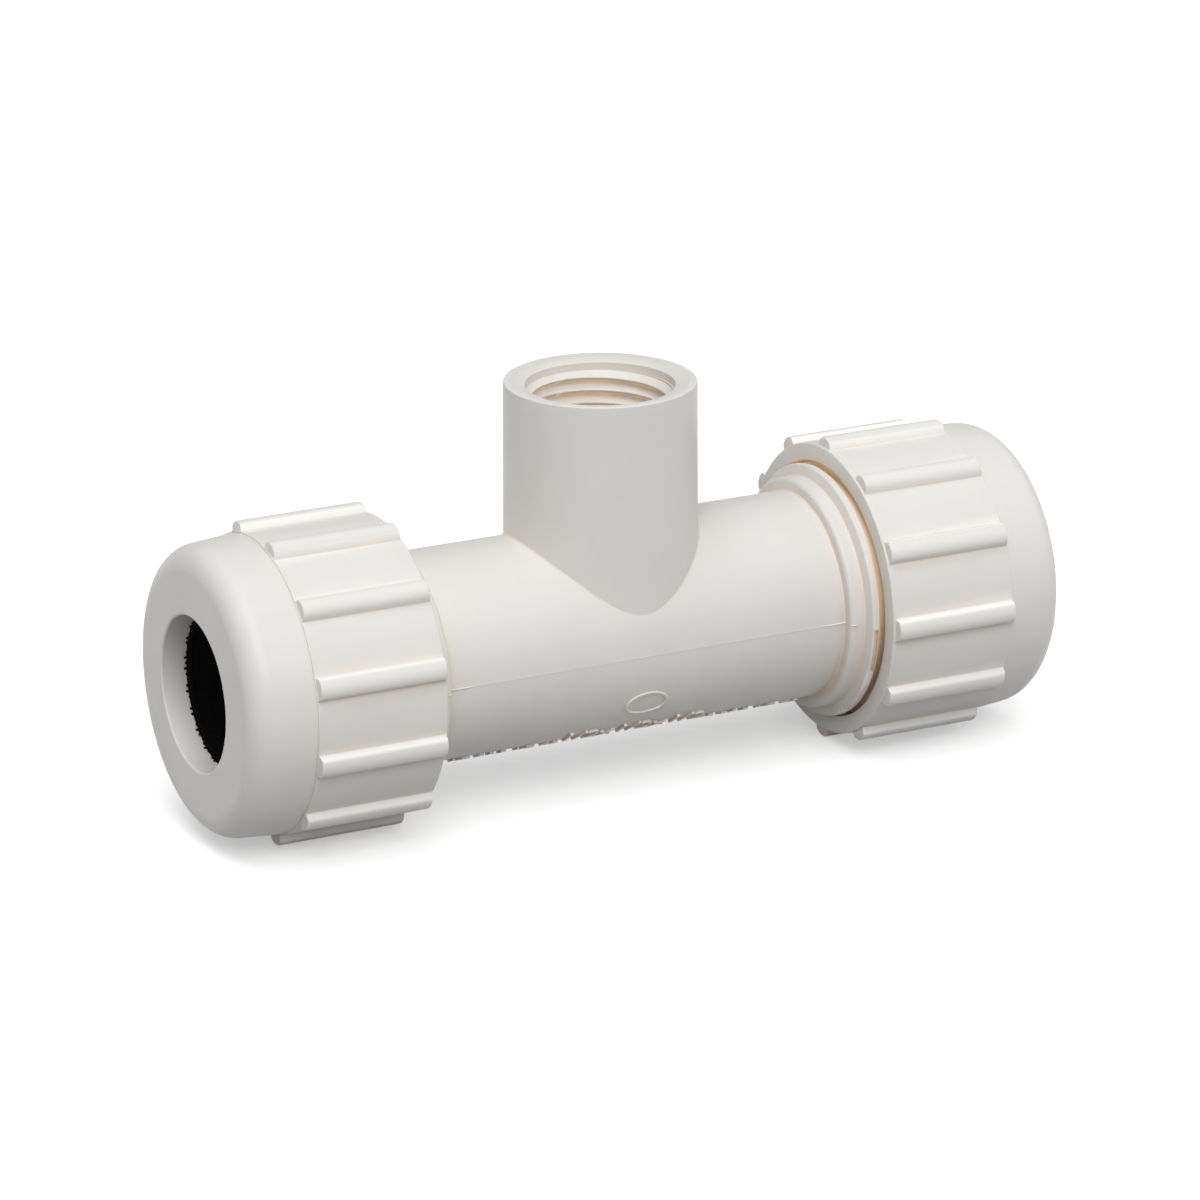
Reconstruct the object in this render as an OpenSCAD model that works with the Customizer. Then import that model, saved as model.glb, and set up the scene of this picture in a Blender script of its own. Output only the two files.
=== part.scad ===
// Compression tee for plastic pipe: a moulded body with two threaded ends, two ribbed
// compression nuts, a tapered rubber gasket behind each nut, and a female pipe thread on the branch.
// The run lies along X, the branch rises along +Z, and the origin is where their axes cross.
// Threads are drawn as plain cylinders at their crests.

/* [Run tube] */
// Outside diameter of the run tube
tube_d = 29.6; // [28.4:0.1:30.4]
// Diameter of the straight hole through the run
run_bore_d = 22; // [21.2:0.1:22.8]
// Distance from the branch axis to each end face of the body
end_reach = 52; // [50.4:0.1:58]

/* [Threaded ends] */
// Diameter over the crests of the end threads
thread_d = 36.4; // [36:0.1:36.8]
// Length of the thread on each end
thread_len = 18.7; // [15:0.1:19.2]
// Diameter of the collar between the tube and the thread
collar_d = 34.6; // [34:0.1:35.6]
// Length of the slope that rises from the collar to the thread
thread_rise = 0.3; // [0.1:0.1:0.9]
// Length of the collar, with its rounded shoulder
collar_len = 2.7; // [2.4:0.1:4.5]
// Radius of the round on the collar's shoulder
collar_round = 1.2; // [0.8:0.1:1.6]
// Radius of the hollow where the collar rises from the tube
collar_hollow = 0.4; // [0.2:0.1:0.8]
// Bevel at the front of the thread
thread_bevel = 1; // [0.5:0.1:1.4]

/* [Gasket seat] */
// Diameter of the bevelled seat at the end face
seat_mouth_d = 32; // [31:0.1:33]
// Depth of the bevelled seat
seat_depth = 4.9; // [4:0.1:6]
// Half angle of the seat's cone
seat_angle = 34.8; // [30:0.1:38]

/* [Branch] */
// Outside diameter at the top of the branch
branch_d = 27; // [26:0.1:28]
// Height of the branch's top face above the run axis
branch_height = 36; // [32:0.1:44]
// Draft of the branch's outside, in degrees
branch_draft = 0.3; // [0:0.1:1]
// Diameter over the crests of the branch thread
branch_thread_d = 18.8; // [18.4:0.1:19.4]
// Depth of the branch thread below the top face
branch_thread_len = 15.5; // [12:0.1:17]
// Diameter of the chamfer at the branch's mouth
branch_mouth_d = 21.4; // [20.6:0.1:22.4]
// Diameter of the plain hole below the branch thread
branch_hole_d = 17.6; // [16:0.1:18.2]
// Bevel on the outer edge of the branch's top
branch_edge = 0.3; // [0.1:0.1:0.6]

/* [Compression nut] */
// Overall length of the nut
nut_len = 28.5; // [27:0.1:30]
// Diameter of the pipe hole in the nut
nut_bore_d = 21.8; // [21.2:0.1:22.8]
// Thickness of the lip that bears on the gasket
nut_lip = 3.9; // [3:0.1:4.5]
// Diameter of the plain band where it meets the ribbed part
nut_band_d = 41.7; // [41.2:0.1:42.6]
// Length of the plain band and the rounded nose in front of the ribs
nut_band_len = 9.4; // [7.5:0.1:11]
// Taper of the plain band, in degrees
nut_taper = 4.5; // [0:0.5:6]
// Radius of the round at the nose
nose_round = 3.6; // [2:0.1:4.5]
// How far the ribbed part stands out from the plain band
panel_step = 0.15; // [0.05:0.05:0.4]
// Length of the small bevels at the pipe hole and at the rear edge
nut_edge = 0.3; // [0.1:0.1:0.5]

/* [Grip ribs] */
// Number of grip ribs
rib_count = 12; // [6:1:16]
// Height of a rib above the ribbed part
rib_height = 1.5; // [1.1:0.1:2]
// Width of a rib at its foot
rib_width = 3.5; // [3:0.1:4.4]
// Radius of a rib's crowned top
rib_crown = 2.2; // [2:0.1:6]
// Radius of the round between a rib's top and its flanks
rib_corner = 0.4; // [0.2:0.1:0.6]
// Slope of a rib's flanks, in degrees
rib_slope = 18; // [8:1:24]
// Radius of the hollow at the foot of a rib
rib_hollow = 0.2; // [0.1:0.1:0.5]
// Radius of the round at a rib's ends
rib_end_round = 0.5; // [0.2:0.1:0.8]
// Distance from a rib's rear end to the nut's rear face
rib_setback = 0.6; // [0.5:0.1:2]

/* [Gasket] */
// Diameter of the hole in the gasket
gasket_bore_d = 22.4; // [22.2:0.1:23.4]
// Outside diameter of the gasket's back
gasket_d = 31.8; // [31.2:0.1:32]
// How far the gasket stands out of the body's end face
gasket_stand = 6.3; // [5.5:0.1:7.5]
// Bevel on the outer edge of the gasket's back
gasket_bevel = 1.2; // [0.6:0.1:1.6]

/* [Fit] */
// Radial clearance between the two threads' crest cylinders
thread_clearance = 0.4; // [0.25:0.05:0.5]
// Clearance between the gasket and the nut's chamber
chamber_clearance = 0.3; // [0.2:0.05:0.5]
// Clearance between the gasket and its seat when the nut is home
seat_clearance = 0.3; // [0.2:0.05:0.5]
// Gap between the gasket's back and the nut's lip
lip_gap = 0.1; // [0.05:0.05:0.3]
// How far the right nut stands out from its home position
right_nut_out = 1.5; // [0:0.1:3]
// Turn of the left nut's ribs from the bottom, in degrees
left_nut_turn = 15; // [0:1:30]
// Turn of the right nut's ribs from the bottom, in degrees
right_nut_turn = 0; // [0:1:30]

/* [Hidden] */
$fn = 96;

over = 1;                                   // how far a cutting shape runs past the face that it cuts

body_colour = [0.87, 0.86, 0.84];
rubber_colour = [0.09, 0.09, 0.09];

thread_r = thread_d / 2;
thread_start = end_reach - thread_len;      // where the collar ends and the thread begins
collar_start = thread_start - collar_len;

seat_slope = tan(seat_angle);
seat_mouth_r = seat_mouth_d / 2;
seat_floor_r = seat_mouth_r - seat_depth * seat_slope;

nut_home = end_reach + gasket_stand + lip_gap + nut_lip;   // the nose face of a nut that is home
nut_thread_r = thread_r + thread_clearance;
chamber_r = gasket_d / 2 + chamber_clearance;
// The threaded part of the nut runs past the body's end face by what is left to tighten.
tighten_room = 1.5;
chamber_len = gasket_stand + lip_gap + nut_lip - tighten_room;

panel_r = nut_band_d / 2 + panel_step;
rib_r = panel_r + rib_height;
rib_front = nut_len - nut_band_len;         // the ribs' front ends, from the nut's rear face

// Turns a shape that stands along +Z to point along +X or -X.
module to_right() rotate([0, 90, 0]) children();
module to_left() rotate([0, -90, 0]) children();

// Outline of one end of the body, from the branch axis to the end face.
module end_outline() {
    collar_r = collar_d / 2;
    tube_r = tube_d / 2;
    square([tube_r, collar_start + collar_hollow]);
    // the hollow at the collar's foot
    difference() {
        translate([0, collar_start - collar_hollow])
            square([tube_r + collar_hollow, collar_hollow]);
        translate([tube_r + collar_hollow, collar_start - collar_hollow])
            circle(r = collar_hollow);
    }
    // the collar with its rounded shoulder
    translate([collar_r - collar_round, collar_start + collar_round])
        circle(r = collar_round);
    translate([0, collar_start])
        square([collar_r - collar_round, collar_len]);
    translate([0, collar_start + collar_round])
        square([collar_r, collar_len - collar_round + over]);
    // the threaded end, at the diameter over its crests
    polygon([
        [0, thread_start],
        [collar_r, thread_start],
        [thread_r, thread_start + thread_rise],
        [thread_r, end_reach - thread_bevel],
        [thread_r - thread_bevel, end_reach],
        [0, end_reach],
    ]);
}

// The bevelled seat that the gasket is pressed into, as a cutting shape.
module seat_cut() {
    seat_top_r = seat_mouth_r + over * seat_slope;
    translate([0, 0, end_reach - seat_depth])
        cylinder(h = seat_depth + over, r1 = seat_floor_r, r2 = seat_top_r);
}

// Outside of the branch, with its draft and a small bevel at the top.
module branch_outside() {
    top_r = branch_d / 2;
    foot_r = top_r + branch_height * tan(branch_draft);
    rotate_extrude()
        polygon([
            [0, 0],
            [foot_r, 0],
            [top_r + branch_edge * tan(branch_draft), branch_height - branch_edge],
            [top_r - branch_edge, branch_height],
            [0, branch_height],
        ]);
}

// Hole of the branch: chamfer, threaded length and the plain hole down to the run.
module branch_inside() {
    thread_floor = branch_height - branch_thread_len;
    chamfer = (branch_mouth_d - branch_thread_d) / 2;
    cylinder(h = branch_height, d = branch_hole_d);
    translate([0, 0, thread_floor])
        cylinder(h = branch_thread_len + over, d = branch_thread_d);
    translate([0, 0, branch_height - chamfer])
        cylinder(h = chamfer + over, d1 = branch_thread_d, d2 = branch_mouth_d + 2 * over);
}

// The moulding: run tube, two stepped and threaded ends, and the branch.
module tee_body() color(body_colour) {
    difference() {
        union() {
            to_right() rotate_extrude() end_outline();
            to_left() rotate_extrude() end_outline();
            branch_outside();
        }
        to_right() translate([0, 0, -end_reach - over])
            cylinder(h = 2 * (end_reach + over), d = run_bore_d);
        to_right() seat_cut();
        to_left() seat_cut();
        branch_inside();
    }
}

// Outline of the nut from its rear face: ribbed part, plain band and rounded nose.
module nut_outline() {
    band_r = nut_band_d / 2;
    nose_z = nut_len - nose_round;
    // the nose round touches the flat face and the band's taper
    nose_r = band_r - (nose_z + nose_round * sin(nut_taper) - rib_front) * tan(nut_taper)
        - nose_round * cos(nut_taper);
    polygon([
        [0, 0],
        [panel_r - nut_edge, 0],
        [panel_r, nut_edge],
        [panel_r, rib_front],
        [band_r, rib_front],
        [nose_r + nose_round * cos(nut_taper), nose_z + nose_round * sin(nut_taper)],
        [nose_r, nut_len],
        [0, nut_len],
    ]);
    translate([nose_r, nose_z]) circle(r = nose_round);
}

// The larger root of a quadratic, from half of its middle coefficient.
function larger_root(a, half_b, c) = (sqrt(half_b * half_b - a * c) - half_b) / a;

// Section of one rib across the nut's axis, with its crest on the X axis.
module rib_section() {
    lean = tan(rib_slope);
    out = [sin(rib_slope), cos(rib_slope)];     // square to the flank
    crown_x = rib_r - rib_crown;
    inner_x = panel_r - over;
    // the round at the top's edge touches the crown and the flank from inside
    inside = rib_crown - rib_corner;
    edge_y = rib_width / 2 - rib_corner / out.y;
    edge_x = panel_r - crown_x;
    edge_up = larger_root(
        1 + lean * lean, edge_x - edge_y * lean, edge_x * edge_x + edge_y * edge_y - inside * inside);
    corner = [panel_r + edge_up, edge_y - edge_up * lean];
    top_edge = [crown_x, 0] + (corner - [crown_x, 0]) * rib_crown / inside;
    flank_top = corner + rib_corner * out;
    // the hollow at the foot touches the flank and the round ribbed part from outside
    outside = panel_r + rib_hollow;
    foot_y = rib_width / 2 + rib_hollow / out.y;
    foot_up = larger_root(
        1 + lean * lean, panel_r - foot_y * lean, panel_r * panel_r + foot_y * foot_y - outside * outside);
    hollow = [panel_r + foot_up, foot_y - foot_up * lean];
    flank_foot = hollow - rib_hollow * out;
    foot = hollow * panel_r / outside;
    intersection() {
        translate([crown_x, 0]) circle(r = rib_crown);
        translate([inner_x, -top_edge.y]) square([rib_r - inner_x, 2 * top_edge.y]);
    }
    for (side = [-1, 1]) translate([corner.x, side * corner.y]) circle(r = rib_corner);
    difference() {
        polygon([
            [inner_x, -foot.y],
            [foot.x, -foot.y],
            [flank_foot.x, -flank_foot.y],
            [flank_top.x, -flank_top.y],
            [top_edge.x, -top_edge.y],
            top_edge,
            flank_top,
            flank_foot,
            foot,
            [inner_x, foot.y],
        ]);
        for (side = [-1, 1]) translate([hollow.x, side * hollow.y]) circle(r = rib_hollow);
    }
}

// Space that the ribs fill, so that both of their ends come out rounded.
module rib_envelope() {
    end_r = rib_r - rib_end_round;
    rotate_extrude() {
        translate([0, rib_setback])
            square([end_r, rib_front - rib_setback]);
        translate([0, rib_setback + rib_end_round])
            square([rib_r + over, rib_front - rib_setback - 2 * rib_end_round]);
        for (z = [rib_setback + rib_end_round, rib_front - rib_end_round])
            translate([end_r, z]) circle(r = rib_end_round);
    }
}

// The grip ribs, the first at the angle that turn gives.
module ribs(turn) {
    intersection() {
        linear_extrude(height = rib_front)
            for (i = [0:rib_count - 1])
                rotate(turn + i * 360 / rib_count) rib_section();
        rib_envelope();
    }
}

// Hollow of the nut: thread, gasket chamber and pipe hole, with a bevel at both mouths.
module nut_hollow() {
    chamber_z = nut_len - chamber_len;
    lip_z = nut_len - nut_lip;
    bore_r = nut_bore_d / 2;
    rotate_extrude()
        polygon([
            [0, -over],
            [nut_thread_r + nut_edge + over, -over],
            [nut_thread_r, nut_edge],
            [nut_thread_r, chamber_z],
            [chamber_r, chamber_z],
            [chamber_r, lip_z - gasket_bevel],
            [chamber_r - gasket_bevel, lip_z],
            [bore_r, lip_z],
            [bore_r, nut_len - nut_edge],
            [bore_r + nut_edge + over, nut_len + over],
            [0, nut_len + over],
        ]);
}

// A compression nut along +Z with its rear face at the origin.
module nut(turn) color(body_colour) {
    difference() {
        union() {
            rotate_extrude() nut_outline();
            ribs(turn);
        }
        nut_hollow();
    }
}

// A gasket along +Z, placed in a body end: a cone that fits the seat, and a straight back.
module gasket() color(rubber_colour) {
    back_r = gasket_d / 2;
    bore_r = gasket_bore_d / 2;
    cone_shift = seat_clearance / cos(seat_angle);
    tip_z = end_reach - seat_depth + 2 * seat_clearance;
    tip_r = seat_floor_r + 2 * seat_clearance * seat_slope - cone_shift;
    shoulder_z = end_reach + (back_r + cone_shift - seat_mouth_r) / seat_slope;
    back_z = end_reach + gasket_stand;
    rotate_extrude()
        polygon([
            [bore_r, tip_z],
            [tip_r, tip_z],
            [back_r, shoulder_z],
            [back_r, back_z - gasket_bevel],
            [back_r - gasket_bevel, back_z],
            [bore_r, back_z],
        ]);
}

module left_nut() to_left() translate([0, 0, nut_home - nut_len]) nut(left_nut_turn);

module right_nut() to_right()
    translate([0, 0, nut_home + right_nut_out - nut_len]) nut(right_nut_turn);

module left_gasket() to_left() gasket();

module right_gasket() to_right() translate([0, 0, right_nut_out]) gasket();

tee_body();
left_nut();
right_nut();
left_gasket();
right_gasket();
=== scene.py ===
import math

import bmesh
import bpy
from mathutils import Matrix, Vector


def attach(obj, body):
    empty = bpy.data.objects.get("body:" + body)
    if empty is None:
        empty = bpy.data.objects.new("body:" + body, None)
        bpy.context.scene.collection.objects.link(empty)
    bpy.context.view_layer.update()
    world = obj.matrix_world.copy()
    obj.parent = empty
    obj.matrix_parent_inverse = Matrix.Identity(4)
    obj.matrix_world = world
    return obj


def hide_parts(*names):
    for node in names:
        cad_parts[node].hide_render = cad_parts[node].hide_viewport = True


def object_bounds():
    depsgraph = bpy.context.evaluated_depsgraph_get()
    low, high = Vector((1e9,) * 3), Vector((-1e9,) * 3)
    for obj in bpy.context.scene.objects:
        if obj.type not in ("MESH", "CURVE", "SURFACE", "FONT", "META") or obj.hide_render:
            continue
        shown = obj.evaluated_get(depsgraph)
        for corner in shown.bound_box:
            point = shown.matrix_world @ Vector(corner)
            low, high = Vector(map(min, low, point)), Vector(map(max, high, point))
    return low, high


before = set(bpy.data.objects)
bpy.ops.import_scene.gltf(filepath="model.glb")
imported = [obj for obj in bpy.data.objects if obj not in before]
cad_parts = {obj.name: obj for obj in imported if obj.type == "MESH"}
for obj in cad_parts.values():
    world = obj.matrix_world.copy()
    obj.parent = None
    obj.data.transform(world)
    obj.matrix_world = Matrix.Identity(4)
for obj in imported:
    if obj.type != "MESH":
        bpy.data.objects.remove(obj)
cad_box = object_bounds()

# Camera and studio
# The camera stands above and to the left of the run, as it was fitted to the photograph's outlines.
# The studio is a white floor and a white surround, with a large soft lamp high in front, one nearly
# overhead at the left and a weak one at the right.
mm = 0.001
camera_azimuth = math.radians(-27.035)
camera_elevation = math.radians(18.715)
camera_roll = math.radians(-0.163)
camera_distance = 864.906 * mm
camera_side = 0.113 * mm
camera_rise = -3.566 * mm
camera_focal = 6167.58                     # in pixels of a frame that is 1200 pixels wide
frame_width = 1200

back = Vector((
    math.sin(camera_azimuth) * math.cos(camera_elevation),
    -math.cos(camera_azimuth) * math.cos(camera_elevation),
    math.sin(camera_elevation),
))
level_right = Vector((math.cos(camera_azimuth), math.sin(camera_azimuth), 0))
level_up = back.cross(level_right)
right = math.cos(camera_roll) * level_right + math.sin(camera_roll) * level_up
up = math.cos(camera_roll) * level_up - math.sin(camera_roll) * level_right

bpy.ops.object.select_all(action="DESELECT")
bpy.ops.object.camera_add()
camera = bpy.context.object
camera.name = "camera"
camera.data.sensor_width = 36
camera.data.lens = camera_focal / frame_width * camera.data.sensor_width
camera.data.clip_start = 0.05
camera.data.clip_end = 20
camera.rotation_mode = "QUATERNION"
camera.rotation_quaternion = Matrix((right, up, back)).transposed().to_quaternion()
camera.location = back * camera_distance - right * camera_side - up * camera_rise
bpy.context.scene.camera = camera


def new_material(name):
    """A node material with its shader and output; returns the material, a node maker and a linker."""
    material = bpy.data.materials.new(name)
    material.use_nodes = True
    tree = material.node_tree
    tree.nodes.clear()

    def node(kind, **values):
        made = tree.nodes.new(kind)
        for key, value in values.items():
            if hasattr(made, key):
                setattr(made, key, value)
            else:
                made.inputs[key.replace("_", " ")].default_value = value
        return made

    return material, node, tree.links.new


floor_z = cad_box[0][2]
bpy.ops.mesh.primitive_plane_add(size=6, location=(0, 0, floor_z))
floor = bpy.context.object
floor.name = "floor"
bpy.ops.object.transform_apply()
white, node, link = new_material("studio_white")
path = node("ShaderNodeLightPath")
seen = node("ShaderNodeMath", operation="ADD", use_clamp=True)
seen_by_all = node("ShaderNodeMath", operation="ADD", use_clamp=True)
dim = node("ShaderNodeBsdfDiffuse", Color=(0.26, 0.26, 0.26, 1))
bright = node("ShaderNodeBsdfDiffuse", Color=(0.9, 0.9, 0.9, 1))
glow = node("ShaderNodeEmission", Color=(1, 1, 1, 1), Strength=0.4)
lit = node("ShaderNodeAddShader")
choose = node("ShaderNodeMixShader")
output = node("ShaderNodeOutputMaterial")
link(path.outputs["Is Camera Ray"], seen.inputs[0])
link(path.outputs["Is Glossy Ray"], seen.inputs[1])
link(seen.outputs[0], seen_by_all.inputs[0])
link(path.outputs["Is Transmission Ray"], seen_by_all.inputs[1])
link(bright.outputs[0], lit.inputs[0])
link(glow.outputs[0], lit.inputs[1])
link(seen_by_all.outputs[0], choose.inputs["Fac"])
link(dim.outputs[0], choose.inputs[1])
link(lit.outputs[0], choose.inputs[2])
link(choose.outputs[0], output.inputs["Surface"])
floor.data.materials.append(white)

surround = bpy.data.worlds.new("surround")
bpy.context.scene.world = surround
surround.use_nodes = True
tree = surround.node_tree
tree.nodes.clear()
path = tree.nodes.new("ShaderNodeLightPath")
soft = tree.nodes.new("ShaderNodeBackground")
soft.inputs["Color"].default_value = (1, 1, 1, 1)
soft.inputs["Strength"].default_value = 0.36
plain = tree.nodes.new("ShaderNodeBackground")
plain.inputs["Color"].default_value = (1, 1, 1, 1)
plain.inputs["Strength"].default_value = 1
choose = tree.nodes.new("ShaderNodeMixShader")
output = tree.nodes.new("ShaderNodeOutputWorld")
tree.links.new(path.outputs["Is Camera Ray"], choose.inputs["Fac"])
tree.links.new(soft.outputs[0], choose.inputs[1])
tree.links.new(plain.outputs[0], choose.inputs[2])
tree.links.new(choose.outputs[0], output.inputs["Surface"])

lamp_softness = math.radians(40)
for name, azimuth, elevation, energy in (
    ("front_lamp", -15, 41, 1.50),
    ("top_lamp", -60, 75, 0.96),
    ("side_lamp", 75, 15, 0.39),
):
    azimuth = math.radians(azimuth)
    elevation = math.radians(elevation)
    way = Vector((
        math.sin(azimuth) * math.cos(elevation),
        -math.cos(azimuth) * math.cos(elevation),
        math.sin(elevation),
    ))
    bpy.ops.object.light_add(type="SUN", location=way)
    lamp = bpy.context.object
    lamp.name = name
    lamp.data.energy = energy
    lamp.data.angle = lamp_softness
    lamp.rotation_mode = "QUATERNION"
    lamp.rotation_quaternion = way.to_track_quat("Z", "Y")

# The body
# One moulding of rigid off-white plastic: the run tube, a stepped collar and a coarse right-hand
# thread at each end, and the branch with a tapered female pipe thread. A fine ridge on each side
# shows where the two halves of the mould met.
tube_r = 14.8
end_reach = 52
collar_start = 31.0
collar_r = 16.6
collar_round = 0.7
collar_hollow = 0.25
ring_start = 33.2
ring_end = 34.65
thread_start = 36.2
thread_r = 18.2
relief_r = 17.2                            # the turned-down neck between the ring and the thread
thread_bevel = 1.0
seat_mouth_r = 16
seat_depth = 4.9
seat_floor_r = 12.594
run_bore_r = 11
columns = 96
window_reach = 17.5                        # half length of the opening in the tube for the branch
window_turn = math.radians(78.75)          # its reach from the top line, a whole number of columns
window_steps = 36


def arc(centre_x, centre_r, radius, start, end, steps):
    """Points of an arc in a turned profile, with its angles in degrees from the axis direction."""
    points = []
    for i in range(steps + 1):
        a = math.radians(start + (end - start) * i / steps)
        points.append((centre_x + radius * math.cos(a), centre_r + radius * math.sin(a)))
    return points


def turned(name, profile, axis="X", steps=columns):
    """A turned skin: a vertex is drawn out along the profile and the line is spun round the axis."""
    bpy.ops.object.select_all(action="DESELECT")
    bpy.ops.mesh.primitive_plane_add(size=mm)
    piece = bpy.context.object
    piece.name = name
    piece.data.name = name
    bpy.ops.object.mode_set(mode="EDIT")
    bpy.ops.mesh.select_mode(type="VERT")
    bpy.ops.mesh.select_all(action="SELECT")
    bpy.ops.mesh.merge(type="CENTER")
    places = [(along, out, 0) if axis == "X" else (out, 0, along) for along, out in profile]
    here = Vector((0, 0, 0))
    for i, place in enumerate(places):
        move = Vector(place) * mm - here
        if i == 0:
            bpy.ops.transform.translate(value=move)
        else:
            bpy.ops.mesh.extrude_vertices_move(TRANSFORM_OT_translate={"value": move})
        here = Vector(place) * mm
    bpy.ops.mesh.select_all(action="SELECT")
    bpy.ops.mesh.remove_doubles(threshold=0.001 * mm)
    turn_axis = (1, 0, 0) if axis == "X" else (0, 0, 1)
    bpy.ops.mesh.spin(steps=steps, angle=2 * math.pi, center=(0, 0, 0), axis=turn_axis)
    bpy.ops.mesh.select_all(action="SELECT")
    bpy.ops.mesh.remove_doubles(threshold=0.001 * mm)
    bpy.ops.mesh.normals_make_consistent(inside=False)
    bpy.ops.object.mode_set(mode="OBJECT")
    return piece


def open_turned(name, profile, axis="X", steps=columns):
    """A turned skin whose two ends are closed one at a time, each with its own flat face."""
    piece = turned(name, profile, axis, steps)
    bpy.ops.object.mode_set(mode="EDIT")
    for along in (profile[0][0], profile[-1][0]):
        bpy.ops.mesh.select_all(action="DESELECT")
        skin = bmesh.from_edit_mesh(piece.data)
        for edge in skin.edges:
            level = [(v.co.x if axis == "X" else v.co.z) - along * mm for v in edge.verts]
            if edge.is_boundary and max(map(abs, level)) < 0.001 * mm:
                edge.select_set(True)
        skin.select_flush_mode()
        bmesh.update_edit_mesh(piece.data)
        bpy.ops.mesh.edge_face_add()
    bpy.ops.mesh.select_all(action="SELECT")
    bpy.ops.mesh.normals_make_consistent(inside=False)
    bpy.ops.object.mode_set(mode="OBJECT")
    return piece


def cut(piece, cutter, operation="DIFFERENCE"):
    """Takes the cutter's shape out of the piece, or joins it on."""
    bpy.ops.object.select_all(action="DESELECT")
    bpy.context.view_layer.objects.active = piece
    modifier = piece.modifiers.new("cut", "BOOLEAN")
    modifier.operation = operation
    modifier.solver = "EXACT"
    modifier.object = cutter
    bpy.ops.object.modifier_apply(modifier=modifier.name)
    bpy.data.objects.remove(cutter, do_unlink=True)


end_profile = (
    [(window_reach + i, tube_r) for i in range(1, 13)]
    + arc(collar_start - collar_hollow, tube_r + collar_hollow, collar_hollow, -90, 0, 4)
    + arc(collar_start + collar_round, collar_r - collar_round, collar_round, 180, 90, 8)[1:]
    + [
        (ring_start - 0.2, collar_r),
        (ring_start, collar_r + 0.09),
        (ring_start + 0.12, collar_r + 0.3),
        (ring_start + 0.38, thread_r - 0.36),
        (ring_start + 0.47, thread_r - 0.14),
        (ring_start + 0.62, thread_r - 0.03),
        (ring_start + 0.78, thread_r),
        (ring_end - 0.12, thread_r),
        (ring_end - 0.03, thread_r - 0.04),
        (ring_end, thread_r - 0.14),
        (ring_end + 0.05, relief_r + 0.1),
        (ring_end + 0.15, relief_r),
        (thread_start, relief_r),
        (thread_start + 0.2, thread_r),
        (end_reach - thread_bevel, thread_r),
        (end_reach, thread_r - thread_bevel),
    ]
)
middle = [
    (-window_reach + 2 * window_reach * i / window_steps, tube_r) for i in range(window_steps + 1)
]
body = open_turned(
    "tee_body_moulding",
    [(-x, r) for x, r in reversed(end_profile)] + middle + end_profile,
)

# The window for the branch is opened in the top of the tube.
bpy.ops.object.mode_set(mode="EDIT")
bpy.ops.mesh.select_mode(type="FACE")
bpy.ops.mesh.select_all(action="DESELECT")
skin = bmesh.from_edit_mesh(body.data)
for face in skin.faces:
    at = face.calc_center_median()
    if abs(at.x) < window_reach * mm and math.atan2(abs(at.y), at.z) < window_turn:
        face.select_set(True)
bmesh.update_edit_mesh(body.data)
bpy.ops.mesh.delete(type="FACE")
bpy.ops.object.mode_set(mode="OBJECT")

# The branch is drawn down from its top ring, and its foot is laid round the tube in a small hollow.
branch_r = 13.5
branch_height = 36
branch_draft = math.tan(math.radians(0.3))
branch_edge = 0.3
foot_hollow = 0.5
foot_steps = 5
branch_columns = 2 * window_steps + 2 * round(window_turn / math.radians(3.75)) * 2


def foot_place(angle, share):
    """A point of the hollow at the branch's foot: share 0 lies on the branch and 1 on the tube."""
    z = tube_r
    for _ in range(4):
        wall_r = branch_r + (branch_height - z) * branch_draft
        reach = wall_r + foot_hollow
        centre = Vector((reach * math.cos(angle), reach * math.sin(angle), 0))
        z = math.sqrt((tube_r + foot_hollow) ** 2 - centre.y ** 2)
    centre.z = z
    on_wall = Vector((wall_r * math.cos(angle), wall_r * math.sin(angle), z)) - centre
    shrink = tube_r / (tube_r + foot_hollow)
    on_tube = Vector((centre.x, centre.y * shrink, centre.z * shrink)) - centre
    way = on_wall.normalized().slerp(on_tube.normalized(), share)
    return (centre + way * foot_hollow) * mm


bpy.ops.object.select_all(action="DESELECT")
bpy.ops.mesh.primitive_circle_add(
    vertices=branch_columns,
    radius=(branch_r - branch_edge) * mm,
    fill_type="NGON",
    location=(0, 0, branch_height * mm),
)
branch = bpy.context.object
bpy.ops.object.transform_apply()
bpy.ops.object.mode_set(mode="EDIT")
bpy.ops.mesh.select_mode(type="VERT")
rings = [
    lambda a: Vector((
        (branch_r - 0.09) * math.cos(a), (branch_r - 0.09) * math.sin(a), branch_height - 0.09)) * mm,
    lambda a: Vector((
        branch_r * math.cos(a), branch_r * math.sin(a), branch_height - branch_edge)) * mm,
]
rings += [
    (lambda a, s=i / foot_steps: foot_place(a, s)) for i in range(foot_steps + 1)
]
bpy.ops.mesh.select_all(action="SELECT")
for i, ring in enumerate(rings):
    if i == 0:
        bpy.ops.mesh.region_to_loop()
    bpy.ops.mesh.extrude_edges_move(TRANSFORM_OT_translate={"value": (0, 0, -0.1 * mm)})
    skin = bmesh.from_edit_mesh(branch.data)
    for vertex in skin.verts:
        if vertex.select:
            vertex.co = ring(math.atan2(vertex.co.y, vertex.co.x))
    bmesh.update_edit_mesh(branch.data)
bpy.ops.object.mode_set(mode="OBJECT")

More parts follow.
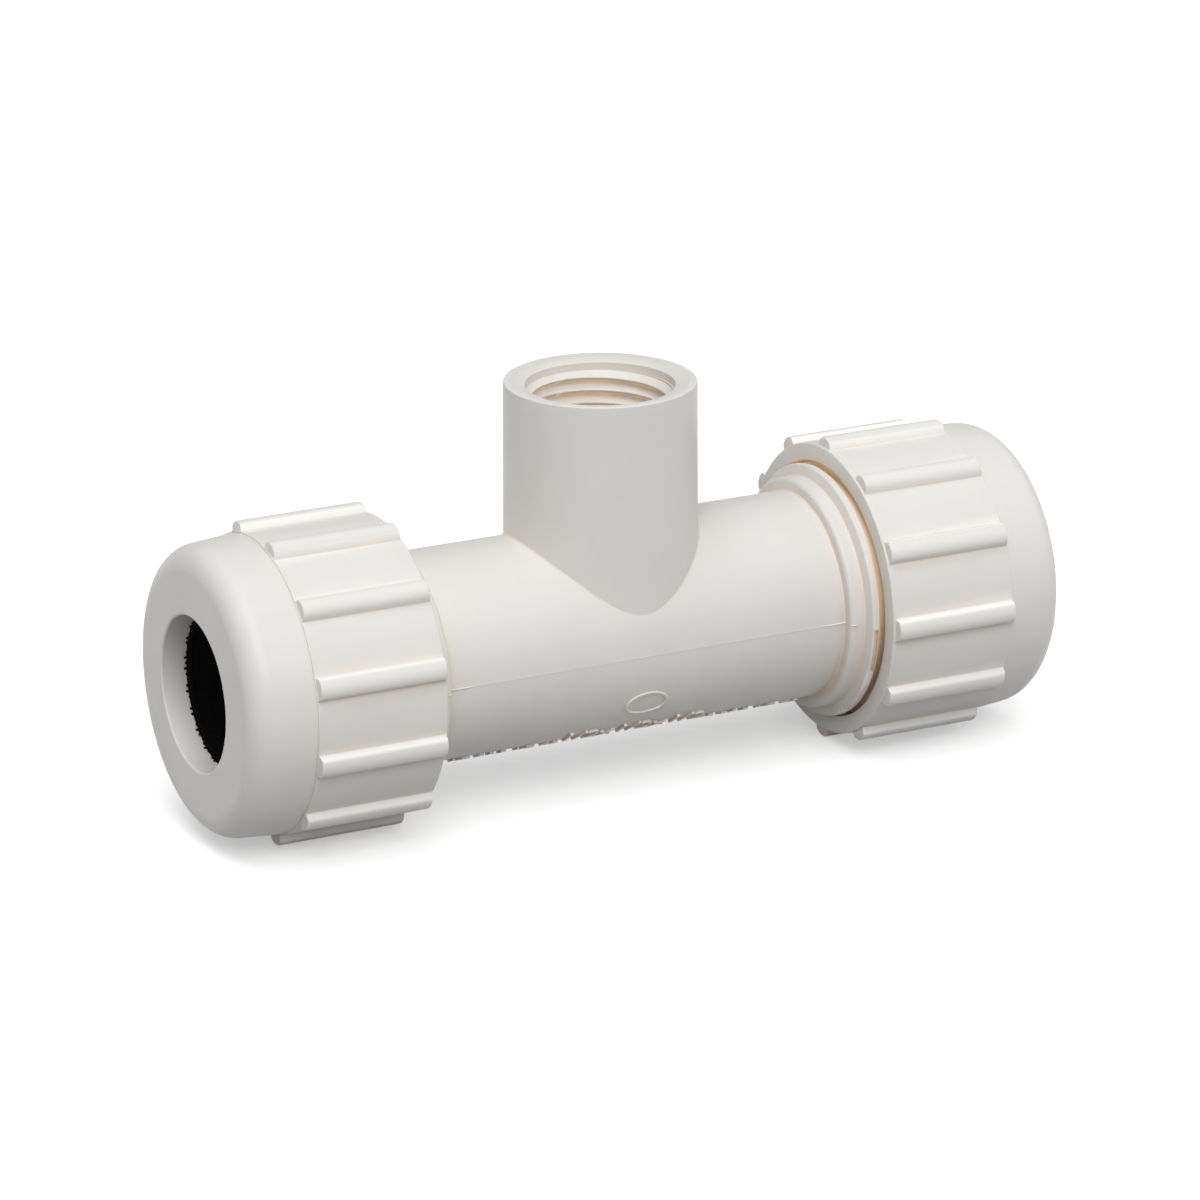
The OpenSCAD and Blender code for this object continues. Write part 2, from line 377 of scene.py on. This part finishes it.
bpy.ops.object.select_all(action="DESELECT")
branch.select_set(True)
body.select_set(True)
bpy.context.view_layer.objects.active = body
bpy.ops.object.join()
bpy.ops.object.mode_set(mode="EDIT")
bpy.ops.mesh.select_mode(type="EDGE")
bpy.ops.mesh.select_all(action="DESELECT")
bpy.ops.mesh.select_non_manifold()
skin = bmesh.from_edit_mesh(body.data)
before = len(skin.verts)
bpy.ops.mesh.bridge_edge_loops(number_cuts=5, interpolation="LINEAR")
skin = bmesh.from_edit_mesh(body.data)
skin.verts.ensure_lookup_table()
for vertex in skin.verts[before:]:
    out = math.hypot(vertex.co.y, vertex.co.z)
    vertex.co.y *= tube_r * mm / out
    vertex.co.z *= tube_r * mm / out
bmesh.update_edit_mesh(body.data)
bpy.ops.mesh.select_all(action="SELECT")
bpy.ops.mesh.normals_make_consistent(inside=False)

# The parting ridge on both sides of the run, uneven, with a little flash at the collars.
ridge_width = 0.08
ridge_height = 0.07
ridge_end = collar_start + collar_round + 0.1
flash_start = 27.8
flash_height = 0.14
bpy.ops.mesh.select_all(action="DESELECT")
skin = bmesh.from_edit_mesh(body.data)
for edge in skin.edges:
    if all(abs(v.co.z) < 0.001 * mm and abs(v.co.x) < ridge_end * mm
           and abs(v.co.y) > (tube_r - 0.1) * mm for v in edge.verts):
        edge.select_set(True)
skin.select_flush_mode()
bmesh.update_edit_mesh(body.data)
bpy.ops.mesh.bevel(offset=ridge_width * mm, segments=2, profile=0.5, affect="EDGES")
skin = bmesh.from_edit_mesh(body.data)
for vertex in skin.verts:
    along = abs(vertex.co.x) / mm
    if abs(vertex.co.z) < 0.001 * mm and along < ridge_end:
        out = abs(vertex.co.y)
        high = ridge_height * (0.62 + 0.38 * math.sin(1.9 * along) * math.cos(0.45 * vertex.co.x / mm))
        if along > flash_start:
            high += flash_height
        vertex.co.y *= (out + high * mm) / out
bmesh.update_edit_mesh(body.data)
bpy.ops.object.mode_set(mode="OBJECT")

# The bores: the run with a bevelled seat at each end, and the branch.
seat_slope = (seat_mouth_r - seat_floor_r) / seat_depth
over = 1
run_core = [
    (end_reach - seat_depth, run_bore_r),
    (end_reach - seat_depth, seat_floor_r),
    (end_reach + over, seat_mouth_r + over * seat_slope),
]
cut(body, open_turned(
    "run_core", [(-x, r) for x, r in reversed(run_core)] + run_core))
branch_hole_r = 8.8
branch_thread_r = 9.4
branch_thread_floor = 20.5
branch_thread_top = branch_height - 2.35
branch_recess_top = branch_height - 1.75   # where the thread meets the short recess above it
branch_recess_r = 10.45
branch_mouth_r = 12.4
branch_mouth_depth = 0.6                   # the shallow cone inside the top ring
branch_floor_r = 9.0                       # the pipe thread narrows to this at its lower end
cut(body, open_turned("branch_core", [
    (0, branch_hole_r),
    (branch_thread_floor, branch_hole_r),
    (branch_thread_floor + 0.3, branch_floor_r),
    (branch_thread_top, branch_thread_r),
    (branch_recess_top, branch_recess_r - 0.06),
    (branch_recess_top + 0.08, branch_recess_r - 0.01),
    (branch_height - branch_mouth_depth - 0.06, branch_recess_r),
    (branch_height - branch_mouth_depth + 0.02, branch_recess_r + 0.1),
    (branch_height, branch_mouth_r),
    (branch_height + over, branch_mouth_r + over),
], axis="Z"))


def thread_cutter(name, section, crest_r, pitch, start, turns, axis="X", fade_start=0, growth=0.0,
                  first_angle=0.0):
    """A right-hand coil of the section, to cut a thread. The section is (outward, half width) points,
    fade_start the share of a turn in which it rises out of the crest surface, and growth the taper."""
    per_turn = 96
    outline = section + [(out, -half) for out, half in reversed(section)]
    count = len(outline)
    steps = round(turns * per_turn)
    vertices = []
    for step in range(steps + 1):
        turn = step / per_turn
        size = max(min(1.0, turn / fade_start), 0.02) if fade_start else 1.0
        angle = first_angle + 2 * math.pi * turn
        for out, half in outline:
            r = (crest_r + growth * turn * pitch + out * size) * mm
            along = (start + turn * pitch + half * size) * mm
            side, rise = r * math.cos(angle), r * math.sin(angle)
            vertices.append((along, side, rise) if axis == "X" else (side, rise, along))
    faces = [tuple(range(count)), tuple(steps * count + i for i in reversed(range(count)))]
    for step in range(steps):
        for i in range(count):
            j = (i + 1) % count
            a, b = step * count, (step + 1) * count
            faces.append((a + i, b + i, b + j, a + j))
    mesh = bpy.data.meshes.new(name)
    mesh.from_pydata(vertices, [], faces)
    coil = bpy.data.objects.new(name, mesh)
    bpy.context.scene.collection.objects.link(coil)
    bpy.ops.object.select_all(action="DESELECT")
    coil.select_set(True)
    bpy.context.view_layer.objects.active = coil
    bpy.ops.object.mode_set(mode="EDIT")
    bpy.ops.mesh.select_all(action="SELECT")
    bpy.ops.mesh.normals_make_consistent(inside=False)
    bpy.ops.object.mode_set(mode="OBJECT")
    return coil


def half_turn(piece):
    """Turns a piece from the right end of the run to the left end."""
    bpy.ops.object.select_all(action="DESELECT")
    piece.select_set(True)
    bpy.context.view_layer.objects.active = piece
    piece.rotation_euler = (0, 0, math.pi)
    bpy.ops.object.transform_apply()
    return piece


end_pitch = 3.0
end_turns = 6.07
body_groove = [(0.35, 1.45), (0.0, 1.10), (-0.12, 0.95), (-1.0, 0.44), (-1.1, 0.30)]
groove_start = 35.9
groove_angle = 181.9
start_notch = [(0.2, 0.36), (0.0, 0.34), (-0.42, 0.27), (-0.5, 0.18)]
notch_start = 34.12
notch_pitch = 1.2
notch_turns = 0.0625
for side in (1, -1):
    coil = thread_cutter(
        "end_groove", body_groove, thread_r, end_pitch, groove_start, end_turns,
        first_angle=math.radians(groove_angle))
    cut(body, coil if side > 0 else half_turn(coil))
    # a short notch in the ring, below the parting line
    notch = thread_cutter(
        "start_notch", start_notch, thread_r, notch_pitch, notch_start, notch_turns,
        first_angle=math.radians(groove_angle))
    cut(body, notch if side > 0 else half_turn(notch))

pipe_pitch = 1.814
pipe_taper = (branch_thread_r - branch_floor_r) / (branch_thread_top - branch_thread_floor)
pipe_groove = [(-0.4, 0.89), (0.0, 0.865), (0.08, 0.8), (0.92, 0.17), (1.0, 0.08)]
pipe_turns = 7.3
pipe_angle = 31.9
cut(body, thread_cutter(
    "branch_groove", pipe_groove, branch_floor_r, pipe_pitch, branch_thread_floor + 1.0, pipe_turns,
    axis="Z", fade_start=0.5, growth=pipe_taper, first_angle=math.radians(pipe_angle)))


def wrap(mark, along, angle, foot_r):
    """Lays a flat raised mark round the tube, with its foot at the radius foot_r."""
    for vertex in mark.data.vertices:
        turn = math.radians(angle) + vertex.co.y / (tube_r * mm)
        out = foot_r * mm + vertex.co.z
        vertex.co = (along * mm + vertex.co.x, -out * math.cos(turn), out * math.sin(turn))


# Marks raised on the lower front: a bare oval ring, and a row of plain size figures with a smaller
# row on both sides of it.
oval_width, oval_height = 3.35, 2.25       # half sizes
oval_line = 0.48                           # width of the ring's line
oval_relief = 0.42
mark_sink = 0.2                            # how far the ring's foot lies under the tube's surface
figure_depth = 0.35                        # half the depth of the figures' solids
bpy.ops.object.select_all(action="DESELECT")
bpy.ops.mesh.primitive_circle_add(vertices=64, radius=mm, fill_type="NGON")
oval = bpy.context.object
bpy.ops.object.mode_set(mode="EDIT")
bpy.ops.mesh.select_mode(type="FACE")
bpy.ops.mesh.select_all(action="SELECT")
bpy.ops.transform.resize(value=(oval_width, oval_height, 1))
bpy.ops.mesh.inset(thickness=oval_line * mm)
bpy.ops.mesh.delete(type="FACE")
bpy.ops.mesh.select_all(action="SELECT")
bpy.ops.mesh.extrude_region_move(TRANSFORM_OT_translate={"value": (0, 0, oval_relief * mm)})
bpy.ops.mesh.region_to_loop()
bpy.ops.mesh.bevel(offset=0.17 * mm, segments=3, profile=0.5, affect="EDGES")
bpy.ops.mesh.select_all(action="SELECT")
bpy.ops.mesh.normals_make_consistent(inside=False)
bpy.ops.object.mode_set(mode="OBJECT")
wrap(oval, 0.6, -31, tube_r - mark_sink)
cut(body, oval, "UNION")
for figures, size, along, angle, relief in (
    ("1/2x1/2x1/2", 4.7, 0.8, -57.5, 0.36),
    ("1/2 21.3 1/2 40", 2.8, -18.6, -66, 0.32),
    ("40 21.3 1/2 40", 2.8, 19.9, -66, 0.32),
):
    bpy.ops.object.select_all(action="DESELECT")
    bpy.ops.object.text_add()
    mark = bpy.context.object
    mark.data.body = figures
    mark.data.size = size * mm
    mark.data.extrude = figure_depth * mm
    mark.data.resolution_u = 3
    mark.data.align_x = "CENTER"
    mark.data.align_y = "CENTER"
    bpy.ops.object.convert(target="MESH")
    mark = bpy.context.object
    bpy.ops.object.mode_set(mode="EDIT")
    bpy.ops.mesh.select_mode(type="VERT")
    bpy.ops.mesh.select_all(action="SELECT")
    bpy.ops.mesh.remove_doubles(threshold=0.001 * mm)
    bpy.ops.mesh.normals_make_consistent(inside=False)
    bpy.ops.object.mode_set(mode="OBJECT")
    wrap(mark, along, angle, tube_r + relief - figure_depth)
    cut(body, mark, "UNION")


def finish_mesh(piece, angle=32):
    """Merges doubles, turns all faces outwards and shades the rounded places smooth."""
    bpy.ops.object.select_all(action="DESELECT")
    piece.select_set(True)
    bpy.context.view_layer.objects.active = piece
    bpy.ops.object.mode_set(mode="EDIT")
    bpy.ops.mesh.select_all(action="SELECT")
    bpy.ops.mesh.remove_doubles(threshold=0.002 * mm)
    bpy.ops.mesh.normals_make_consistent(inside=False)
    bpy.ops.object.mode_set(mode="OBJECT")
    bpy.ops.object.shade_smooth_by_angle(angle=math.radians(angle))
    weigh = piece.modifiers.new("weigh", "WEIGHTED_NORMAL")
    weigh.keep_sharp = True
    bpy.ops.object.modifier_apply(modifier=weigh.name)


finish_mesh(body)


def moulded_plastic(name, base, shade):
    """Off-white moulded plastic: faint clouds under a satin skin with fine grain. Painted on it: a
    painted highlight on its edges, painted pink shade in its corners, painted brown shade in deep gaps,
    and a painted glow in the gaps and corners that grows towards the top."""
    material, node, link = new_material(name)

    def remap(source, low, high, to_low, to_high):
        """The source's value, moved from one range to another."""
        made = node("ShaderNodeMapRange")
        for socket, value in (
            ("From Min", low), ("From Max", high), ("To Min", to_low), ("To Max", to_high),
        ):
            made.inputs[socket].default_value = value
        link(source, made.inputs["Value"])
        return made.outputs["Result"]

    def reckon(operation, *terms):
        """A sum on sockets and numbers. A difference stays between 0 and 1."""
        made = node("ShaderNodeMath", operation=operation, use_clamp=operation == "SUBTRACT")
        for socket, term in zip(made.inputs, terms):
            if isinstance(term, float):
                socket.default_value = term
            else:
                link(term, socket)
        return made.outputs[0]

    def parts(source):
        made = node("ShaderNodeSeparateXYZ")
        link(source, made.inputs["Vector"])
        return made.outputs

    def openness(samples, distance):
        """1 in the open, less where other surfaces stand within the distance."""
        return node("ShaderNodeAmbientOcclusion", samples=samples, Distance=distance).outputs["AO"]

    place = node("ShaderNodeTexCoord")
    at = parts(place.outputs["Object"])
    facing = parts(place.outputs["Normal"])
    shape = node("ShaderNodeNewGeometry")
    clouds = node("ShaderNodeTexNoise", Scale=130.0, Detail=4.0, Roughness=0.6)
    specks = node("ShaderNodeTexNoise", Scale=1900.0, Detail=2.0, Roughness=0.6)
    link(place.outputs["Object"], clouds.inputs["Vector"])
    link(place.outputs["Object"], specks.inputs["Vector"])
    wide = openness(4, 2.0 * mm)
    close = openness(3, 0.5 * mm)

    # Masks for the painted shade: none near the pipe holes, little on the tube's marks and on surfaces
    # that face up.
    along = reckon("ABSOLUTE", at["X"])
    inside_nuts = remap(along, 50 * mm, 54 * mm, 1.0, 0.0)
    past_tube = remap(along, 29.5 * mm, 30.5 * mm, 0.25, 1.0)
    off_tube = reckon("MAXIMUM", past_tube, remap(at["Z"], 18 * mm, 20 * mm, 0.25, 1.0))
    upward = remap(facing["Z"], 0.2, 1.0, 0.0, 0.6)
    off_ends = remap(reckon("ABSOLUTE", facing["X"]), 0.9, 0.99, 1.0, 0.0)

    # painted shade: a brown tone in deep gaps and thread roots, where the wide occlusion is strong
    painted_recess_shade = reckon("SUBTRACT", remap(wide, 0.08, 0.7, 1.0, 0.0), upward)
    painted_recess_shade = reckon("MULTIPLY", reckon("MULTIPLY", painted_recess_shade, inside_nuts), off_tube)
    # painted shade: a pink tone where nearby surfaces hide much of the surround, less on surfaces that
    # face up
    painted_pink_shade = reckon("MULTIPLY", remap(wide, 0.5, 0.96, 0.7, 0.0), inside_nuts)
    painted_pink_shade = reckon("SUBTRACT", painted_pink_shade, upward)
    # painted shade: a pinkish-brown tone in narrow creases, where the close occlusion is strong
    painted_crease_shade = reckon("MULTIPLY", remap(close, 0.45, 0.92, 0.6, 0.0), off_tube)
    # painted highlight: convex edges lightened where pointiness is high, not on faces that face along
    # the run
    edge = reckon("MULTIPLY", remap(shape.outputs["Pointiness"], 0.53, 0.60, 0.0, 0.85), off_ends)
    # painted glow: emission in the deep gaps and pink-shaded places, stronger higher up, and strongest
    # in the branch's thread roots
    painted_glow_height = remap(at["Z"], -5 * mm, 12 * mm, 0.0, 0.16)
    deep = reckon("POWER", painted_recess_shade, 1.8)
    glow = reckon("MULTIPLY", reckon("MULTIPLY_ADD", painted_pink_shade, 0.75, deep), painted_glow_height)
    glow = reckon("MULTIPLY_ADD", deep, remap(at["Z"], 24 * mm, 28 * mm, 0.0, 1.0), glow)

    tone = node("ShaderNodeMix", data_type="RGBA")
    tone.inputs["A"].default_value = (*base, 1)
    tone.inputs["B"].default_value = (*shade, 1)
    link(clouds.outputs["Fac"], tone.inputs["Factor"])
    colour = tone.outputs["Result"]
    # the painted shades and the painted edge highlight, laid over the clouded tone
    for share, tint in (
        (painted_crease_shade, (0.62, 0.52, 0.43, 1)),
        (painted_pink_shade, (0.71, 0.575, 0.48, 1)),
        (edge, (0.95, 0.945, 0.935, 1)),
        (painted_recess_shade, (0.74, 0.54, 0.32, 1)),
    ):
        mixed = node("ShaderNodeMix", data_type="RGBA")
        mixed.inputs["B"].default_value = tint
        link(share, mixed.inputs["Factor"])
        link(colour, mixed.inputs["A"])
        colour = mixed.outputs["Result"]

    grain = node("ShaderNodeBump", Strength=0.12, Distance=0.05 * mm)
    skin = node("ShaderNodeBsdfPrincipled")
    skin.inputs["IOR"].default_value = 1.52
    skin.inputs["Specular IOR Level"].default_value = 0.42
    # colour of the painted glow
    skin.inputs["Emission Color"].default_value = (0.6, 0.43, 0.22, 1)
    output = node("ShaderNodeOutputMaterial")
    link(colour, skin.inputs["Base Color"])
    link(glow, skin.inputs["Emission Strength"])
    link(remap(clouds.outputs["Fac"], 0.0, 1.0, 0.34, 0.5), skin.inputs["Roughness"])
    link(specks.outputs["Fac"], grain.inputs["Height"])
    link(grain.outputs["Normal"], skin.inputs["Normal"])
    link(skin.outputs["BSDF"], output.inputs["Surface"])
    return material


body_plastic = moulded_plastic("body_plastic", (0.77, 0.76, 0.73), (0.72, 0.70, 0.675))
body.data.materials.clear()
body.data.materials.append(body_plastic)
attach(body, "fitting")
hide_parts("tee_body")

# The nuts
# Two alike caps moulded of the same plastic. Each screws onto one end of the body with a coarse
# internal thread, and twelve ribs give the hand or wrench its grip. The plain band runs over into a
# rounded nose with the hole for the pipe.
nut_len = 28.5
nut_rear = 33.8
panel_r = 21.0
band_r = 20.85
band_front = 19.2
nose_round = 3.6
nose_centre = (24.78, 16.8)
face_lean = 1.2                            # the flat face falls away outwards by this angle
pipe_hole_r = 10.9
lip_back = 24.6
chamber_start = 19.7
chamber_r = 16.2
nut_crest_r = 17.4
nut_relief_r = 18.45
rear_round = 0.22
nut_relief_end = 3.3
rib_rear = 0.3
rib_front = 19.1
rib_height = 1.5
rib_crown_r = 2.2
rib_half_crest = 1.34                      # half width at the top's edges
rib_corner = 0.28
rib_half_foot = 1.6
rib_foot = 0.15
rib_end_lean = 0.05
rib_pitch = math.radians(30)
nut_columns = 144
rib_columns = 4

nut_profile = (
    [(0, nut_relief_r + 0.1), (0, nut_relief_r + 0.3), (0, panel_r - rear_round - 0.2)]
    + arc(rear_round, panel_r - rear_round, rear_round, 180, 90, 4)
    + [(rib_rear, panel_r), (rib_front, panel_r), (band_front, panel_r),
       (band_front + 0.03, band_r)]
    + arc(*nose_centre, nose_round, 85.5, face_lean, 12)
    + arc(nut_len - 0.3, pipe_hole_r + 0.3, 0.3, face_lean, -90, 5)
    + arc(lip_back + 0.25, pipe_hole_r + 0.25, 0.25, 270, 180, 3)
    + [
        (lip_back, chamber_r - 1.2),
        (lip_back - 1.2, chamber_r),
        (chamber_start, chamber_r),
        (chamber_start, nut_crest_r),
        (nut_relief_end + 1.2, nut_crest_r),
        (nut_relief_end, nut_relief_r),
        (0.1, nut_relief_r),
        (0, nut_relief_r + 0.1),
    ]
)
nut = turned("nut_shell", nut_profile, steps=nut_columns)

# Each rib's four columns are drawn out, and their lines are set to the crowned section.
bpy.ops.object.mode_set(mode="EDIT")
bpy.ops.mesh.select_mode(type="FACE")
bpy.ops.mesh.select_all(action="DESELECT")
skin = bmesh.from_edit_mesh(nut.data)
for face in skin.faces:
    at = face.calc_center_median()
    out = math.hypot(at.y, at.z)
    turn = math.atan2(at.z, at.y) % rib_pitch
    if (rib_rear < at.x / mm < rib_front and out > (panel_r - 0.2) * mm
            and min(turn, rib_pitch - turn) < math.pi * rib_columns / nut_columns):
        face.select_set(True)
# the outer lines of the ribs' columns are set to the width of the foot
for vertex in skin.verts:
    out = math.hypot(vertex.co.y, vertex.co.z)
    turn = math.atan2(vertex.co.z, vertex.co.y)
    middle = round(turn / rib_pitch) * rib_pitch
    place = round((turn - middle) * nut_columns / (2 * math.pi))
    ribbed = vertex.co.x < (rib_front + 0.2) * mm and out > (panel_r - 0.6) * mm
    if ribbed and abs(place) == rib_columns / 2:
        turn = middle + math.copysign(rib_half_foot / panel_r, place)
        vertex.co.y = out * math.cos(turn)
        vertex.co.z = out * math.sin(turn)
bmesh.update_edit_mesh(nut.data)
bpy.ops.mesh.extrude_region_move()
skin = bmesh.from_edit_mesh(nut.data)
for vertex in skin.verts:
    if not vertex.select:
        continue
    turn = math.atan2(vertex.co.z, vertex.co.y)
    middle = round(turn / rib_pitch) * rib_pitch
    place = round((turn - middle) * nut_columns / (2 * math.pi))     # -2, -1, 0, 1 or 2 columns
    aside = rib_half_crest * place * 2 / rib_columns
    up = panel_r + rib_height - rib_crown_r + math.sqrt(rib_crown_r ** 2 - aside ** 2)
    vertex.co.y = (up * math.cos(middle) - aside * math.sin(middle)) * mm
    vertex.co.z = (up * math.sin(middle) + aside * math.cos(middle)) * mm
    vertex.co.x += (rib_end_lean if vertex.co.x < rib_front / 2 * mm else -rib_end_lean) * mm
bmesh.update_edit_mesh(nut.data)
# the crest's rim
bpy.ops.mesh.region_to_loop()
bpy.ops.mesh.bevel(
    offset=rib_corner * mm, segments=3, profile=0.5, affect="EDGES", clamp_overlap=False)
bpy.ops.mesh.select_mode(type="EDGE")
bpy.ops.mesh.select_all(action="DESELECT")
skin = bmesh.from_edit_mesh(nut.data)
for edge in skin.edges:
    out = [math.hypot(v.co.y, v.co.z) / mm for v in edge.verts]
    along = [v.co.x / mm for v in edge.verts]
    if max(out) > panel_r + 0.01 or min(out) < panel_r - 0.06:
        continue
    if min(along) < rib_rear - 0.01 or max(along) > rib_front + 0.01 or len(edge.link_faces) != 2:
        continue
    if edge.calc_face_angle() > math.radians(20):
        edge.select_set(True)
skin.select_flush_mode()
bmesh.update_edit_mesh(nut.data)
bpy.ops.mesh.bevel(
    offset=rib_foot * mm, segments=3, profile=0.5, affect="EDGES", clamp_overlap=False)
bpy.ops.mesh.select_all(action="SELECT")
bpy.ops.mesh.normals_make_consistent(inside=False)
bpy.ops.object.mode_set(mode="OBJECT")

nut_groove = [(-0.35, 1.45), (0.0, 1.10), (0.12, 0.98), (0.9, 0.50), (1.0, 0.36)]
nut_groove_start = 1.2
nut_turns = 6.04
nut_plastic = moulded_plastic("nut_plastic", (0.785, 0.775, 0.745), (0.735, 0.715, 0.69))
for name, body_name, cad_name, side, out, rib_turn in (
    ("right_nut_moulding", "right_cap", "right_nut", 1, 1.5, 0),
    ("left_nut_moulding", "left_cap", "left_nut", -1, 0, 15),
):
    shell = nut.copy()
    shell.data = nut.data.copy()
    shell.name = name
    shell.data.name = name
    bpy.context.scene.collection.objects.link(shell)
    bpy.ops.object.select_all(action="DESELECT")
    shell.select_set(True)
    bpy.context.view_layer.objects.active = shell
    shell.rotation_euler = (math.radians(rib_turn), 0, 0)
    shell.location = ((nut_rear + out) * mm, 0, 0)
    bpy.ops.object.transform_apply()
    # the nut's groove holds the body's ridge, half a pitch on from the body's groove
    first = nut_rear + out + nut_groove_start
    angle = groove_angle + 360 * (first - groove_start - end_pitch / 2) / end_pitch
    cut(shell, thread_cutter(
        "nut_groove", nut_groove, nut_crest_r, end_pitch, first, nut_turns,
        first_angle=math.radians(angle)))
    if side < 0:
        half_turn(shell)
    finish_mesh(shell)
    shell.data.materials.clear()
    shell.data.materials.append(nut_plastic)
    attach(shell, body_name)
    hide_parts(cad_name)
bpy.data.objects.remove(nut, do_unlink=True)

# The gaskets
# A tapered ring of black rubber in each end, pressed into the body's seat by the nut's lip. Fine
# nubs round its hole reach a little way into the lip.
gasket_bore_r = 11.2
gasket_back_r = 15.9
inner_lip_r = 10.62                        # the thin flange at the back, which the nubs stand on
nub_top_r = 10.86
gasket_profile = [
    (47.7, gasket_bore_r + 0.2),
    (47.7, 12.45),
    (47.83, 12.68),
    (52.3, 15.78),
    (52.55, gasket_back_r),
    (57.1, gasket_back_r),
    (58.3, 14.7),
    (58.3, nub_top_r),
    (58.3, inner_lip_r + 0.05),
    (58.25, inner_lip_r),
    (57.8, inner_lip_r),
    (57.5, gasket_bore_r),
    (47.9, gasket_bore_r),
    (47.7, gasket_bore_r + 0.2),
]
nub_count = 84
nub_reach = 0.5
gasket = turned("gasket_ring", gasket_profile, steps=2 * nub_count)

# Every second column of the flange's back is drawn out to a nub, each to a length of its own.
bpy.ops.object.mode_set(mode="EDIT")
bpy.ops.mesh.select_mode(type="FACE")
bpy.ops.mesh.select_all(action="DESELECT")
skin = bmesh.from_edit_mesh(gasket.data)
for face in skin.faces:
    at = face.calc_center_median() / mm
    column = math.floor(math.atan2(at.z, at.y) * nub_count / math.pi)
    if at.x > 58.29 and math.hypot(at.y, at.z) < nub_top_r and column % 2 == 0:
        face.select_set(True)
bmesh.update_edit_mesh(gasket.data)
bpy.ops.mesh.extrude_region_move(TRANSFORM_OT_translate={"value": (0.1 * mm, 0, 0)})
skin = bmesh.from_edit_mesh(gasket.data)
for face in [f for f in skin.faces if f.select]:
    at = face.calc_center_median()
    column = math.floor(math.atan2(at.z, at.y) * nub_count / math.pi)
    middle = sum((v.co for v in face.verts), Vector()) / len(face.verts)
    for vertex in face.verts:
        vertex.co.x += nub_reach * (0.65 + 0.35 * math.sin(2.3 * column)) * mm
        aside = vertex.co - middle
        vertex.co.y -= 0.3 * aside.y
        vertex.co.z -= 0.3 * aside.z
bmesh.update_edit_mesh(gasket.data)
bpy.ops.mesh.select_all(action="SELECT")
bpy.ops.mesh.normals_make_consistent(inside=False)
bpy.ops.object.mode_set(mode="OBJECT")

rubber, node, link = new_material("gasket_rubber")
place = node("ShaderNodeTexCoord")
grain = node("ShaderNodeTexNoise", Scale=2400.0, Detail=2.0)
tone = node("ShaderNodeMix", data_type="RGBA")
tone.inputs["A"].default_value = (0.002, 0.002, 0.002, 1)
tone.inputs["B"].default_value = (0.005, 0.005, 0.005, 1)
relief = node("ShaderNodeBump", Strength=0.25, Distance=0.05 * mm)
skin = node("ShaderNodeBsdfPrincipled", Roughness=0.75)
skin.inputs["Specular IOR Level"].default_value = 0.08
output = node("ShaderNodeOutputMaterial")
link(place.outputs["Object"], grain.inputs["Vector"])
link(grain.outputs["Fac"], tone.inputs["Factor"])
link(tone.outputs["Result"], skin.inputs["Base Color"])
link(grain.outputs["Fac"], relief.inputs["Height"])
link(relief.outputs["Normal"], skin.inputs["Normal"])
link(skin.outputs["BSDF"], output.inputs["Surface"])

for name, body_name, cad_name, side, out in (
    ("right_gasket_ring", "right_seal", "right_gasket", 1, 1.5),
    ("left_gasket_ring", "left_seal", "left_gasket", -1, 0),
):
    ring = gasket.copy()
    ring.data = gasket.data.copy()
    ring.name = name
    ring.data.name = name
    bpy.context.scene.collection.objects.link(ring)
    bpy.ops.object.select_all(action="DESELECT")
    ring.select_set(True)
    bpy.context.view_layer.objects.active = ring
    ring.location = (out * mm, 0, 0)
    bpy.ops.object.transform_apply()
    if side < 0:
        half_turn(ring)
    finish_mesh(ring)
    ring.data.materials.clear()
    ring.data.materials.append(rubber)
    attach(ring, body_name)
    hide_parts(cad_name)
bpy.data.objects.remove(gasket, do_unlink=True)

bpy.context.scene.view_settings.view_transform = "Standard"
